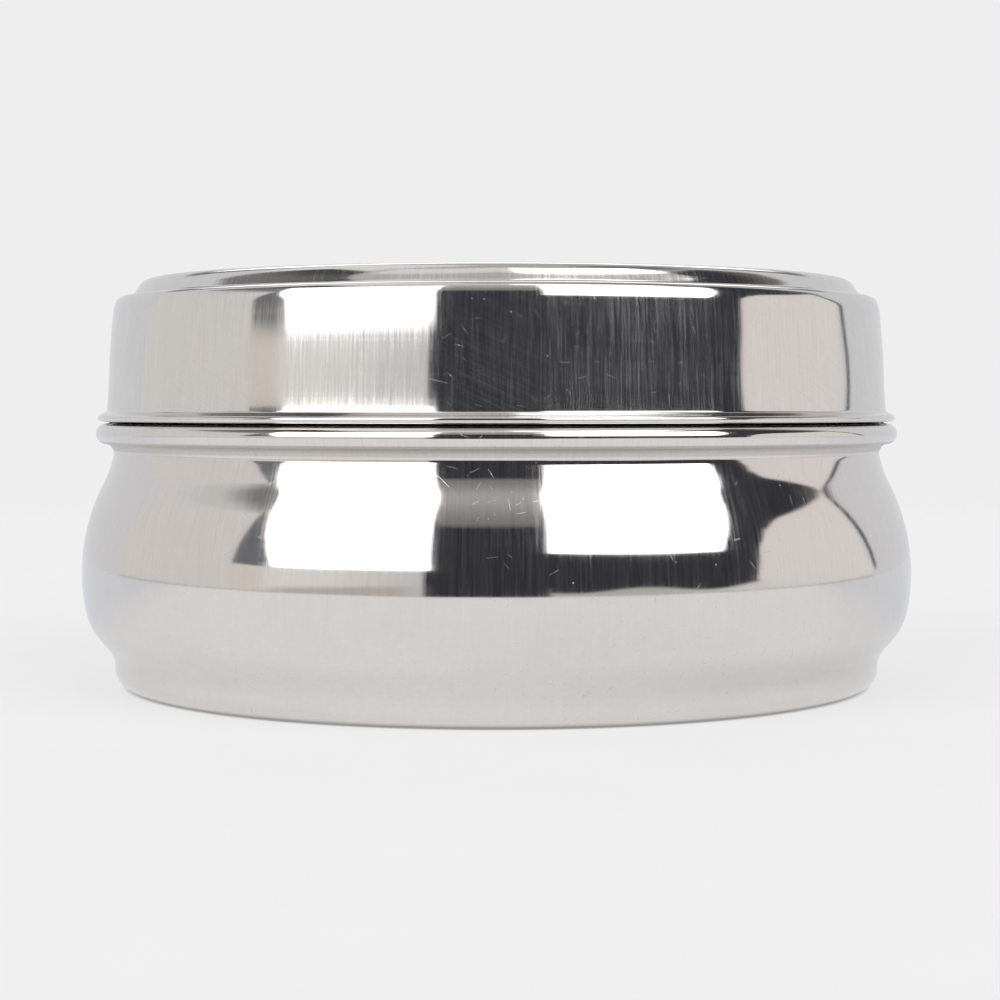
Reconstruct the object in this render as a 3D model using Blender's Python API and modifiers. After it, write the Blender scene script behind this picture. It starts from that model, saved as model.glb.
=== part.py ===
"""Stainless-steel masala dabba: a belly-shaped Indian spice box.

A pressed pot with a raised collar holds seven small bowls, one in the middle and six
around it. A flat inner lid with a riveted knob lies on the bowls, two small spoons lie
on the inner lid, and a deep stepped outer lid slides down over the collar until its
rolled edge rests on the pot's bead.

Units are metres, +Z is up, and the origin is the centre of the base, on the table.
Every turned piece is a profile in the XZ plane, written as (radius, height) points, that
a Screw modifier turns about Z. Sheet pieces are open profiles that follow the face that
is outside or on top, and a Solidify modifier gives them their sheet thickness.
"""

import math

import bmesh
import bpy

MM = 0.001
CLEARANCE = 0.3 * MM  # between two pieces that touch on the real object

# Pot
BELLY_RADIUS = 100.0 * MM
BELLY_HEIGHT = 27.0 * MM
BELLY_ARC_RADIUS = 46.05 * MM  # from the widest ring up to where the side turns hollow
BELLY_ARC_END = 27.5  # degrees above level, on the belly's arc
NECK_SLOW_RADIUS = 26.0 * MM  # the hollow neck opens in a tight bend, then a slow one
NECK_BEND_RADIUS = 3.5 * MM
NECK_BEND_END = 12.0
SIDE_ARC_RADIUS = 45.0 * MM  # the belly just below its widest ring
TURN_ARC_RADIUS = 15.0 * MM  # where the belly turns in towards the foot
TURN_START = 10.9  # degrees below level, on the side's arc
TURN_END = 40.0
FOOT_RADIUS = 92.2 * MM
FOOT_FILLET_RADIUS = 7.0 * MM
FOOT_CORNER_RADIUS = 4.0 * MM
BASE_RING_WIDTH = 3.6 * MM
BASE_PANEL_RISE = 0.8 * MM
BASE_PANEL_SLOPE = 1.6 * MM
POT_SHEET = 0.7 * MM
BEAD_RADIUS = 2.5 * MM
BEAD_OUTER_RADIUS = 96.5 * MM
BEAD_HEIGHT = 60.2 * MM
COLLAR_TOP = 86.0 * MM

# Outer lid
LID_TOP = 96.7 * MM
LID_SHEET = 0.5 * MM
PLATEAU_CORNER_PLACE = 83.9 * MM  # from the axis to the centre of the corner's arc
PLATEAU_CORNER = 2.2 * MM
PLATEAU_SIDE_ARC = 15.0 * MM  # the plateau's side leans back, and is slightly rounded
PLATEAU_SIDE_LEAN_TOP = 32.5  # degrees from upright
PLATEAU_SIDE_LEAN_FOOT = 25.5
STEP_FILLET = 0.6 * MM
SHOULDER_HEIGHT = 92.5 * MM
SHOULDER_CORNER = 2.0 * MM  # a tight arc over the corner, then a slow one into the wall
SHOULDER_SLOW_ARC = 7.0 * MM
SHOULDER_CHANGE = 25.0  # degrees above level, where the two arcs meet
LID_WALL_FOOT_RADIUS = 93.9 * MM
LID_TAPER = 3.0  # degrees that the wall leans in
LID_CURL_INNER_RADIUS = 0.85 * MM
LID_COLLAR_CLEARANCE = 0.5 * MM

# Bowls
BOWL_COUNT = 6  # around the middle one
BOWL_SHEET = 0.4 * MM
BOWL_TALL = 46.0 * MM
BOWL_WALL_TOP_RADIUS = 27.8 * MM
BOWL_WALL_FOOT_RADIUS = 26.2 * MM
BOWL_CORNER_RADIUS = 10.0 * MM
BOWL_CURL_INNER_RADIUS = 0.5 * MM
BOWL_GAP = 1.8 * MM  # between two neighbouring rims

# Inner lid with its knob and rivet
INNER_LID_SHEET = 0.5 * MM
INNER_LID_RADIUS = 89.5 * MM
INNER_LID_EDGE = 4.0 * MM
INNER_LID_FILLET = 2.5 * MM
RIVET_RADIUS = 2.1 * MM
RIVET_HEAD_RADIUS = 4.5 * MM
RIVET_HEAD_TALL = 1.2 * MM
RIVET_REACH = 7.0 * MM  # how far the shank goes up into the knob
KNOB_RADIUS = 9.5 * MM
KNOB_TALL = 15.0 * MM
KNOB_CROWN_RADIUS = 18.0 * MM
KNOB_EDGE_RADIUS = 2.6 * MM

# Spoons
SPOON_LENGTH = 104.0 * MM
SPOON_SHEET = 0.9 * MM
SCOOP_LENGTH = 30.0 * MM
SCOOP_HALF_WIDTH = 11.5 * MM
SCOOP_DEPTH = 4.5 * MM
HANDLE_NECK_HALF_WIDTH = 2.4 * MM
HANDLE_END_HALF_WIDTH = 4.6 * MM
HANDLE_ARCH = 4.0 * MM
SPOON_OFFSET = 26.0 * MM  # from the knob's axis to the spoon's centre line

LARGE_TURN_STEPS = 40
SMALL_TURN_STEPS = 20

# Worked out from the sizes above
POT_FLOOR = BASE_PANEL_RISE + POT_SHEET
BEAD_CENTRE_RADIUS = BEAD_OUTER_RADIUS - BEAD_RADIUS
BEAD_TOP = BEAD_HEIGHT + BEAD_RADIUS
LID_CURL_OUTER_RADIUS = LID_CURL_INNER_RADIUS + LID_SHEET
LID_CURL_HEIGHT = BEAD_TOP + CLEARANCE + LID_CURL_OUTER_RADIUS
CHANGE_SINE = math.sin(math.radians(SHOULDER_CHANGE))
TAPER_SINE = math.sin(math.radians(LID_TAPER))
SHOULDER_DROP = SHOULDER_CORNER * (1 - CHANGE_SINE)
LID_WALL_TOP = SHOULDER_HEIGHT - SHOULDER_DROP - SHOULDER_SLOW_ARC * (CHANGE_SINE - TAPER_SINE)
BOWL_FOOT = POT_FLOOR + CLEARANCE
BOWL_RIM = BOWL_FOOT + BOWL_TALL
BOWL_RIM_RADIUS = BOWL_WALL_TOP_RADIUS + 2 * BOWL_CURL_INNER_RADIUS + BOWL_SHEET
BOWL_RING_RADIUS = 2 * BOWL_RIM_RADIUS + BOWL_GAP
INNER_LID_TOP = BOWL_RIM + CLEARANCE + INNER_LID_SHEET
SPOON_FOOT = INNER_LID_TOP + CLEARANCE


def steel(name, colour, roughness):
    material = bpy.data.materials.new(name)
    material.use_nodes = True
    shader = material.node_tree.nodes["Principled BSDF"]
    shader.inputs["Base Color"].default_value = (*colour, 1.0)
    shader.inputs["Metallic"].default_value = 1.0
    shader.inputs["Roughness"].default_value = roughness
    return material


def arc(centre, radius, start, end, steps):
    """Points on a circle about (radius, height) centre, from angle start to end in degrees, where 0 points
    outwards and 90 points up."""
    angles = [math.radians(start + (end - start) * i / steps) for i in range(steps + 1)]
    return [
        (centre[0] + radius * math.cos(a), centre[1] + radius * math.sin(a))
        for a in angles
    ]


def turn(name, profile, steps, material, sheet=0.0):
    """One object: the profile turned once about Z, and thickened away from its face if it is sheet."""
    mesh = bpy.data.meshes.new(name)
    edges = [(i, i + 1) for i in range(len(profile) - 1)]
    mesh.from_pydata([(r, 0.0, z) for r, z in profile], edges, [])
    mesh.materials.append(material)
    piece = bpy.data.objects.new(name, mesh)
    PARTS.objects.link(piece)
    screw = piece.modifiers.new("turn", "SCREW")
    screw.steps = steps
    screw.render_steps = steps
    screw.use_merge_vertices = True
    screw.merge_threshold = 0.00001
    screw.use_smooth_shade = True
    if sheet:
        solidify = piece.modifiers.new("sheet", "SOLIDIFY")
        solidify.thickness = sheet
        solidify.offset = -1.0
        solidify.use_even_offset = True
    return piece


def lid_wall_radius(height):
    """The outer radius of the lid's slightly tapered wall."""
    rise = height - LID_CURL_HEIGHT
    return LID_WALL_FOOT_RADIUS - rise * math.tan(math.radians(LID_TAPER))


def collar_radius(height):
    """The collar follows the inside of the lid's wall, so that the lid slides over it."""
    return lid_wall_radius(height) - LID_SHEET - LID_COLLAR_CLEARANCE


def on_circle(radius, degrees):
    """The step from a circle's centre to its point at an angle."""
    angle = math.radians(degrees)
    return radius * math.cos(angle), radius * math.sin(angle)


def pot_side():
    """The S-shaped side, from the neck's narrowest ring down to the belly's widest one."""
    belly_centre = (BELLY_RADIUS - BELLY_ARC_RADIUS, BELLY_HEIGHT)
    belly = arc(belly_centre, BELLY_ARC_RADIUS, BELLY_ARC_END, 0, 6)
    out, up = on_circle(NECK_SLOW_RADIUS, BELLY_ARC_END)
    slow_centre = (belly[0][0] + out, belly[0][1] + up)
    slow = arc(slow_centre, NECK_SLOW_RADIUS, 180 + NECK_BEND_END, 180 + BELLY_ARC_END, 2)
    out, up = on_circle(NECK_BEND_RADIUS, NECK_BEND_END)
    bend_centre = (slow[0][0] + out, slow[0][1] + up)
    bend = arc(bend_centre, NECK_BEND_RADIUS, 180, 180 + NECK_BEND_END, 1)
    return bend[:-1] + slow[:-1] + belly


def pot_foot():
    """From below the belly's widest ring to the middle of the base."""
    side_centre = (BELLY_RADIUS - SIDE_ARC_RADIUS, BELLY_HEIGHT)
    side = arc(side_centre, SIDE_ARC_RADIUS, 0, -TURN_START, 2)[1:]
    turn_start = math.radians(TURN_START)
    turn_end = math.radians(TURN_END)
    turn_centre = (
        side[-1][0] - TURN_ARC_RADIUS * math.cos(turn_start),
        side[-1][1] + TURN_ARC_RADIUS * math.sin(turn_start),
    )
    turn_in = arc(turn_centre, TURN_ARC_RADIUS, -TURN_START, -TURN_END, 3)[1:]
    # A straight slope runs from the turn to the fillet that meets the foot's upright wall.
    fillet_start = FOOT_RADIUS + FOOT_FILLET_RADIUS * (1 - math.cos(turn_end))
    slope_drop = (turn_in[-1][0] - fillet_start) / math.tan(turn_end)
    fillet_drop = FOOT_FILLET_RADIUS * math.sin(turn_end)
    fillet_centre = (
        FOOT_RADIUS + FOOT_FILLET_RADIUS,
        turn_in[-1][1] - slope_drop - fillet_drop,
    )
    fillet = arc(fillet_centre, FOOT_FILLET_RADIUS, 180 - TURN_END, 180, 3)
    corner_centre = (FOOT_RADIUS - FOOT_CORNER_RADIUS, FOOT_CORNER_RADIUS)
    corner = arc(corner_centre, FOOT_CORNER_RADIUS, 0, -90, 3)
    ring_inner = corner_centre[0] - BASE_RING_WIDTH
    base = [
        (ring_inner, 0.0),
        (ring_inner - BASE_PANEL_SLOPE, BASE_PANEL_RISE),
        (0.0, BASE_PANEL_RISE),
    ]
    return side + turn_in + fillet + corner + base


def make_pot():
    collar_foot = BEAD_TOP + 1.0 * MM
    collar_fillet = 0.9 * MM
    collar = [
        (collar_radius(COLLAR_TOP), COLLAR_TOP),
        (collar_radius(collar_foot), collar_foot),
    ]
    fillet_centre = (
        collar[-1][0] + collar_fillet,
        BEAD_TOP + collar_fillet,
    )
    collar += arc(fillet_centre, collar_fillet, 200, 270, 2)
    bead = arc((BEAD_CENTRE_RADIUS, BEAD_HEIGHT), BEAD_RADIUS, 75, -65, 6)
    side = pot_side()
    neck_radius = side[0][0]
    under_bead = [
        (neck_radius + 1.4 * MM, BEAD_HEIGHT - BEAD_RADIUS - 0.5 * MM),
        (neck_radius + 0.4 * MM, BEAD_HEIGHT - BEAD_RADIUS - 1.2 * MM),
    ]
    profile = collar + bead + under_bead + side + pot_foot()
    material = steel("pot_steel", (0.70, 0.69, 0.67), 0.12)
    turn("pot", profile, LARGE_TURN_STEPS, material, POT_SHEET)


def make_outer_lid():
    corner_centre = (PLATEAU_CORNER_PLACE, LID_TOP - PLATEAU_CORNER)
    corner = arc(corner_centre, PLATEAU_CORNER, 90, PLATEAU_SIDE_LEAN_TOP, 3)
    out, up = on_circle(PLATEAU_SIDE_ARC, PLATEAU_SIDE_LEAN_TOP)
    side_centre = (corner[-1][0] - out, corner[-1][1] - up)
    side = arc(side_centre, PLATEAU_SIDE_ARC, PLATEAU_SIDE_LEAN_TOP, PLATEAU_SIDE_LEAN_FOOT, 2)[1:]
    # A straight slope runs from the side's arc to the fillet on the step.
    out, up = on_circle(STEP_FILLET, PLATEAU_SIDE_LEAN_FOOT)
    slope_drop = side[-1][1] - (SHOULDER_HEIGHT + STEP_FILLET - up)
    slope_end = side[-1][0] + slope_drop * math.tan(math.radians(PLATEAU_SIDE_LEAN_FOOT))
    step_centre = (slope_end + out, SHOULDER_HEIGHT + STEP_FILLET)
    step = arc(step_centre, STEP_FILLET, 180 + PLATEAU_SIDE_LEAN_FOOT, 270, 2)
    # The shoulder is worked out from the wall upwards, so that the arcs meet without a crease.
    out, up = on_circle(SHOULDER_SLOW_ARC, LID_TAPER)
    slow_centre = (lid_wall_radius(LID_WALL_TOP) - out, LID_WALL_TOP - up)
    slow = arc(slow_centre, SHOULDER_SLOW_ARC, SHOULDER_CHANGE, LID_TAPER, 2)
    out, up = on_circle(SHOULDER_CORNER, SHOULDER_CHANGE)
    shoulder_centre = (slow[0][0] - out, slow[0][1] - up)
    shoulder = arc(shoulder_centre, SHOULDER_CORNER, 90, SHOULDER_CHANGE, 3)
    curl_centre = (LID_WALL_FOOT_RADIUS + LID_CURL_INNER_RADIUS, LID_CURL_HEIGHT)
    curl = arc(curl_centre, LID_CURL_INNER_RADIUS, 180, 450, 6)
    profile = [(0.0, LID_TOP)] + corner + side + step + shoulder + slow[1:] + curl
    material = steel("outer_lid_steel", (0.70, 0.69, 0.67), 0.16)
    turn("outer_lid", profile, LARGE_TURN_STEPS, material, LID_SHEET)


def make_bowl(name, place, material):
    curl_centre = (
        BOWL_WALL_TOP_RADIUS + BOWL_CURL_INNER_RADIUS,
        BOWL_TALL - BOWL_CURL_INNER_RADIUS - BOWL_SHEET,
    )
    corner_centre = (
        BOWL_WALL_FOOT_RADIUS - BOWL_CORNER_RADIUS,
        BOWL_CORNER_RADIUS,
    )
    profile = (
        arc(curl_centre, BOWL_CURL_INNER_RADIUS, -60, 180, 4)
        + arc(corner_centre, BOWL_CORNER_RADIUS, 0, -90, 3)
        + [(0.0, 0.0)]
    )
    bowl = turn(name, profile, SMALL_TURN_STEPS, material, BOWL_SHEET)
    bowl.location = (*place, BOWL_FOOT)


def make_bowls():
    material = steel("bowl_steel", (0.66, 0.65, 0.63), 0.22)
    make_bowl("bowl_center", (0.0, 0.0), material)
    for i in range(BOWL_COUNT):
        angle = 2 * math.pi * i / BOWL_COUNT
        place = (
            BOWL_RING_RADIUS * math.cos(angle),
            BOWL_RING_RADIUS * math.sin(angle),
        )
        make_bowl(f"bowl_{i + 1}", place, material)


def make_inner_lid():
    """A flat plate with a hole for the rivet and an upturned edge. Its origin is on its upper face."""
    edge_radius = INNER_LID_RADIUS - INNER_LID_SHEET
    fillet_centre = (edge_radius - INNER_LID_FILLET, INNER_LID_FILLET)
    profile = (
        [(RIVET_RADIUS + CLEARANCE, 0.0)]
        + arc(fillet_centre, INNER_LID_FILLET, -90, 0, 3)
        + [(edge_radius, INNER_LID_EDGE)]
    )
    material = steel("inner_lid_steel", (0.68, 0.67, 0.65), 0.2)
    inner_lid = turn(
        "inner_lid", profile, LARGE_TURN_STEPS, material, INNER_LID_SHEET
    )
    inner_lid.location.z = INNER_LID_TOP
    return inner_lid


def make_knob(inner_lid):
    """A mushroom-shaped knob with a blind hole for the rivet's shank."""
    hole = RIVET_RADIUS + CLEARANCE
    hole_top = RIVET_REACH + CLEARANCE
    foot_radius = KNOB_RADIUS - 2.5 * MM
    crown_centre = (0.0, KNOB_TALL - KNOB_CROWN_RADIUS)
    crown_share = (KNOB_RADIUS - KNOB_EDGE_RADIUS) / (
        KNOB_CROWN_RADIUS - KNOB_EDGE_RADIUS
    )
    crown_end = 90 - math.degrees(math.asin(crown_share))
    # The edge's arc sits inside the crown's, so the two meet without a crease.
    edge_centre = (
        KNOB_RADIUS - KNOB_EDGE_RADIUS,
        crown_centre[1]
        + (KNOB_CROWN_RADIUS - KNOB_EDGE_RADIUS) * math.sin(math.radians(crown_end)),
    )
    waist_centre = (KNOB_RADIUS + 1.0 * MM, 5.2 * MM)
    profile = (
        arc(crown_centre, KNOB_CROWN_RADIUS, 90, crown_end, 3)
        + arc(edge_centre, KNOB_EDGE_RADIUS, crown_end, -80, 4)[1:]
        + arc(waist_centre, 5.2 * MM, 140, 215, 4)
        + [
            (foot_radius, 1.2 * MM),
            (foot_radius, 0.0),
            (hole, 0.0),
            (hole, hole_top),
            (0.0, hole_top),
        ]
    )
    material = steel("knob_steel", (0.72, 0.71, 0.69), 0.1)
    knob = turn("inner_lid_knob", profile, SMALL_TURN_STEPS, material)
    knob.parent = inner_lid
    knob.location.z = CLEARANCE


def make_rivet(inner_lid):
    """The rivet's head is under the inner lid, over the middle bowl's mouth."""
    shank_top = CLEARANCE + RIVET_REACH
    head_top = -INNER_LID_SHEET - CLEARANCE
    head_foot = head_top - RIVET_HEAD_TALL
    profile = [
        (0.0, shank_top),
        (RIVET_RADIUS, shank_top),
        (RIVET_RADIUS, head_top),
        (RIVET_HEAD_RADIUS, head_top),
        (RIVET_HEAD_RADIUS * 0.85, head_top - RIVET_HEAD_TALL * 0.6),
        (RIVET_HEAD_RADIUS * 0.5, head_foot),
        (0.0, head_foot),
    ]
    material = steel("rivet_steel", (0.64, 0.63, 0.61), 0.25)
    rivet = turn("knob_rivet", profile, SMALL_TURN_STEPS, material)
    rivet.parent = inner_lid


def spoon_half_width(along):
    """Half the spoon's width at a distance from the scoop's tip."""
    handle_share = (along - SCOOP_LENGTH) / (SPOON_LENGTH - SCOOP_LENGTH)
    handle = HANDLE_NECK_HALF_WIDTH + max(handle_share, 0.0) * (
        HANDLE_END_HALF_WIDTH - HANDLE_NECK_HALF_WIDTH
    )
    tip_left = SPOON_LENGTH - along
    if tip_left < HANDLE_END_HALF_WIDTH:
        handle *= math.sqrt(max(1 - (1 - tip_left / HANDLE_END_HALF_WIDTH) ** 2, 0.09))
    centred = 2 * along / SCOOP_LENGTH - 1
    scoop = SCOOP_HALF_WIDTH * math.sqrt(max(1 - centred**2, 0.03))
    return scoop if centred < 0 else max(scoop if centred < 1 else 0.0, handle)


def spoon_height(along, across):
    """The spoon's underside: a dished scoop and an arched handle. across runs from -1 to 1."""
    centred = min(2 * along / SCOOP_LENGTH - 1, 1.0)
    dish = (1 - centred**2) * (1 - across**2)
    handle_share = max((along - SCOOP_LENGTH) / (SPOON_LENGTH - SCOOP_LENGTH), 0.0)
    arch = HANDLE_ARCH * math.sin(math.pi * min(handle_share * 1.15, 1.0))
    return SCOOP_DEPTH * (1 - dish) + arch


def make_spoon(name, turned, material):
    """A pressed spoon: a grid shaped by the two functions above, then thickened upwards."""
    columns, rows = 26, 6
    shape = bmesh.new()
    bmesh.ops.create_grid(shape, x_segments=columns, y_segments=rows, size=0.5)
    for vertex in shape.verts:
        # Closer steps at both ends, where the outline is round.
        share = vertex.co.x + 0.5
        along = SPOON_LENGTH * (share - math.sin(2 * math.pi * share) * 0.06)
        across = vertex.co.y * 2
        vertex.co = (
            along - SPOON_LENGTH / 2,
            across * spoon_half_width(along),
            spoon_height(along, across),
        )
    mesh = bpy.data.meshes.new(name)
    shape.to_mesh(mesh)
    shape.free()
    mesh.materials.append(material)
    mesh.shade_smooth()
    spoon = bpy.data.objects.new(name, mesh)
    PARTS.objects.link(spoon)
    solidify = spoon.modifiers.new("sheet", "SOLIDIFY")
    solidify.thickness = SPOON_SHEET
    solidify.offset = 1.0
    side = -1.0 if turned else 1.0
    spoon.location = (0.0, side * SPOON_OFFSET, SPOON_FOOT)
    spoon.rotation_euler.z = math.pi if turned else 0.0


def clear_scene():
    for thing in list(bpy.data.objects):
        bpy.data.objects.remove(thing)


clear_scene()
PARTS = bpy.data.collections.new("masala_dabba")
bpy.context.scene.collection.children.link(PARTS)

make_pot()
make_outer_lid()
make_bowls()
lid_inside = make_inner_lid()
make_knob(lid_inside)
make_rivet(lid_inside)
spoon_material = steel("spoon_steel", (0.70, 0.69, 0.67), 0.15)
make_spoon("spoon_1", False, spoon_material)
make_spoon("spoon_2", True, spoon_material)
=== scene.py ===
"""The looks of a polished stainless-steel masala dabba (spice box).

Every turned sheet piece is a finely stepped profile, given its sheet thickness and turned about its own
axis, with a slight hand-made waviness. The knob and the rivet are turned solids, and the two spoons are
pressed from a grid. The kinds of steel are procedural: upright draw lines, spun rings, straight wiping
scratches, dust, smears, soft dents and slanted buffing marks. The studio that the steel mirrors is drawn
in the world shader: two softboxes, a bright band on the ceiling, pale wall panels and the dark room behind
the camera.

Profiles are in mm, as (radius, height) points. Everything in the scene is in metres.
"""

import math

import bpy
import numpy as np
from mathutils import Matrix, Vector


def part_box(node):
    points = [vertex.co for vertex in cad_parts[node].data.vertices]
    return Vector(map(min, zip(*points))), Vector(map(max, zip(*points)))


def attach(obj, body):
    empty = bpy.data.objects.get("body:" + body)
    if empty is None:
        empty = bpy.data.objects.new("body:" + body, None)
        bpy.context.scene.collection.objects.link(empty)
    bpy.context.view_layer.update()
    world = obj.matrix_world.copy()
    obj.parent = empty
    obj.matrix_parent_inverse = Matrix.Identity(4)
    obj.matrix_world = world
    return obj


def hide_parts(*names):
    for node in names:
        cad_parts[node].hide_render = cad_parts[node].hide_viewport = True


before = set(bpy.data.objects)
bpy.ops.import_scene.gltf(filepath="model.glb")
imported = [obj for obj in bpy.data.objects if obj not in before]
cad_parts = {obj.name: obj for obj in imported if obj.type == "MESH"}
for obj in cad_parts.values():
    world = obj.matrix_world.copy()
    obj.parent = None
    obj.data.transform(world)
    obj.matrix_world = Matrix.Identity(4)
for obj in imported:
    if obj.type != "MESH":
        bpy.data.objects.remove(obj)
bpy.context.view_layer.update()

MM = 0.001
TINY = 1e-6  # a length in mm that counts as zero
EDGE_BULGE = 0.7  # how far a sheet's cut edge bulges, as a share of half its thickness
WAVE_TURNS = (2, 3, 5, 8, 13)  # how often each slow wave runs round a piece
WAVE_SLANT = 0.12  # the most that a wave turns with height, in radians per mm
WAVY_FROM = 5.0  # the waviness starts this many mm from the axis

# ---------------------------------------------------------------- profiles


def arc(centre, radius, start, end, step=4.0):
    """Points in mm on a circle about (radius, height) centre, from angle start to end in degrees, where 0
    points outwards and 90 points up."""
    count = max(2, int(abs(end - start) / step) + 1)
    angles = np.radians(np.linspace(start, end, count))
    return [(centre[0] + radius * math.cos(a), centre[1] + radius * math.sin(a)) for a in angles]


def beside(point, radius, angle):
    """The centre of the circle that has the point at an angle on it. A negative radius goes the other way."""
    turn = math.radians(angle)
    return (point[0] - radius * math.cos(turn), point[1] - radius * math.sin(turn))


def spaced(path, step):
    """The path with a point about every step mm."""
    path = np.array(path, float)
    gaps = np.hypot(*np.diff(path, axis=0).T)
    path = path[np.concatenate([[True], gaps > TINY])]
    along = np.concatenate([[0], np.cumsum(np.hypot(*np.diff(path, axis=0).T))])
    places = np.linspace(0, along[-1], max(3, int(along[-1] / step) + 1))
    return np.stack([np.interp(places, along, path[:, 0]), np.interp(places, along, path[:, 1])], 1)


def softened(path, width, step=0.15):
    """The path with its creases rounded over about width mm. Its ends stay where they are."""
    path = spaced(path, step)
    reach = max(1, int(3 * width / step))
    weights = np.exp(-0.5 * (np.arange(-reach, reach + 1) * step / width) ** 2)
    weights /= weights.sum()
    before = 2 * path[0] - path[reach:0:-1]
    after = 2 * path[-1] - path[-2 : -reach - 2 : -1]
    padded = np.concatenate([before, path, after])
    return np.stack([np.convolve(padded[:, i], weights, "valid") for i in (0, 1)], 1)


def thinned(path, tolerance=0.004, longest=3.0):
    """The path without the points that lie on a line with their neighbours. A line is longest mm at most."""
    keep = [0]
    for i in range(1, len(path) - 1):
        a, b = path[keep[-1]], path[i + 1]
        chord = b - a
        length = math.hypot(*chord)
        between = path[keep[-1] + 1 : i + 1] - a
        off = np.abs(between[:, 0] * chord[1] - between[:, 1] * chord[0]) / max(length, 1e-9)
        if off.max() > tolerance or length > longest:
            keep.append(i)
    keep.append(len(path) - 1)
    return path[keep]


def edge_round(a, b):
    """Three points that round the sheet's cut edge from a to b."""
    middle, half = (a + b) / 2, (b - a) / 2
    out = np.array([-half[1], half[0]]) * EDGE_BULGE
    return [tuple(middle - half * math.cos(t) + out * math.sin(t)) for t in np.radians([45, 90, 135])]


def sheet(path, thickness, tolerance=0.004):
    """A closed outline: the path, and its copy at the sheet's thickness to its right, with rounded edges."""
    path = thinned(np.array(path), tolerance)
    ahead = np.gradient(path, axis=0)
    ahead /= np.hypot(*ahead.T)[:, None]
    right = np.stack([ahead[:, 1], -ahead[:, 0]], 1)
    for end, beside_end in ((0, 1), (-1, -2)):
        if path[end][0] < TINY:
            right[end] = (0.0, math.copysign(1.0, right[beside_end][1]))
    other = path + right * thickness
    outline = [tuple(p) for p in path]
    if path[-1][0] > TINY:
        outline += edge_round(path[-1], other[-1])
    outline += [tuple(p) for p in other[::-1]]
    if path[0][0] > TINY:
        outline += edge_round(other[0], path[0])
    return outline


def waviness(angles, heights, amount, seed):
    """Small bulges in mm over the turned surface, from a few slow waves."""
    chance = np.random.default_rng(seed)
    total = np.zeros((len(angles), len(heights)))
    for turns in WAVE_TURNS:
        phase, slant = chance.uniform(0, 2 * math.pi), chance.uniform(-WAVE_SLANT, WAVE_SLANT)
        total += np.cos(turns * angles[:, None] + phase + slant * heights[None, :]) / turns
    return total * amount


def shown(name, mesh):
    """A new smooth-shaded object in the scene."""
    mesh.validate()
    mesh.shade_smooth()
    piece = bpy.data.objects.new(name, mesh)
    bpy.context.scene.collection.objects.link(piece)
    return piece


def turned(name, outline, steps, wave=0.0, seed=1):
    """A mesh from a closed outline in mm, turned about Z. Points on the axis are shared."""
    outline = np.array(outline)
    angles = 2 * math.pi * np.arange(steps) / steps
    wavy = outline[:, 0] > WAVY_FROM
    radii = outline[:, 0][None, :] + waviness(angles, outline[:, 1], wave, seed) * wavy
    points, index = [], np.zeros((steps, len(outline)), int)
    for j, (r, z) in enumerate(outline):
        if r < TINY:
            index[:, j] = len(points)
            points.append((0.0, 0.0, z * MM))
            continue
        for i, angle in enumerate(angles):
            index[i, j] = len(points)
            points.append((radii[i, j] * math.cos(angle) * MM, radii[i, j] * math.sin(angle) * MM, z * MM))
    faces = []
    for i in range(steps):
        near, far = index[i], index[(i + 1) % steps]
        for j in range(len(outline)):
            k = (j + 1) % len(outline)
            corners = [near[j], near[k], far[k], far[j]]
            face = [c for n, c in enumerate(corners) if c != corners[n - 1]]
            if len(face) > 2:
                faces.append(face)
    mesh = bpy.data.meshes.new(name)
    mesh.from_pydata(points, [], faces)
    return mesh


# ---------------------------------------------------------------- node arithmetic


class Value:
    """A number that changes over a surface or the sky: a node output with arithmetic."""

    def __init__(self, tree, socket):
        self.tree = tree
        self.socket = socket

    def node(self, kind, **settings):
        made = self.tree.nodes.new(kind)
        for key, value in settings.items():
            setattr(made, key, value)
        return made

    def put(self, entry, value):
        if isinstance(value, Value):
            self.tree.links.new(value.socket, entry)
        else:
            entry.default_value = value

    def math(self, operation, *others, clamp=False):
        made = self.node("ShaderNodeMath", operation=operation, use_clamp=clamp)
        for entry, value in zip(made.inputs, (self, *others)):
            self.put(entry, value)
        return Value(self.tree, made.outputs[0])

    def vector(self, operation, *others):
        made = self.node("ShaderNodeVectorMath", operation=operation)
        for entry, value in zip(made.inputs, (self, *others)):
            self.put(entry, value)
        output = "Value" if operation in ("DOT_PRODUCT", "LENGTH") else "Vector"
        return Value(self.tree, made.outputs[output])

    def __add__(self, other):
        return self.math("ADD", other)

    def __sub__(self, other):
        return self.math("SUBTRACT", other)

    def __mul__(self, other):
        return self.math("MULTIPLY", other)

    def __truediv__(self, other):
        return self.math("DIVIDE", other)

    __radd__ = __add__

    def __rsub__(self, other):
        return (self * -1.0) + other

    def above(self, level, soft):
        """0 below level and 1 above it, with a soft edge."""
        made = self.node("ShaderNodeMapRange", interpolation_type="SMOOTHSTEP")
        self.put(made.inputs["Value"], self - level)
        made.inputs["From Min"].default_value = -soft / 2
        made.inputs["From Max"].default_value = soft / 2
        return Value(self.tree, made.outputs[0])

    def below(self, level, soft):
        """1 below level and 0 above it, with a soft edge."""
        return 1.0 - self.above(level, soft)

    def between(self, low, high, soft):
        """1 from low to high and 0 elsewhere, with soft edges."""
        return self.above(low, soft) * self.below(high, soft)


def mixed(mask, first, second):
    """Colour first where the mask is 0, and second where it is 1."""
    made = mask.node("ShaderNodeMix", data_type="RGBA")
    mask.put(made.inputs[0], mask)
    for entry, colour in ((made.inputs[6], first), (made.inputs[7], second)):
        if isinstance(colour, Value):
            mask.put(entry, colour)
        else:
            entry.default_value = (*colour, 1.0)
    return Value(mask.tree, made.outputs[2])


# ---------------------------------------------------------------- steel


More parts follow.
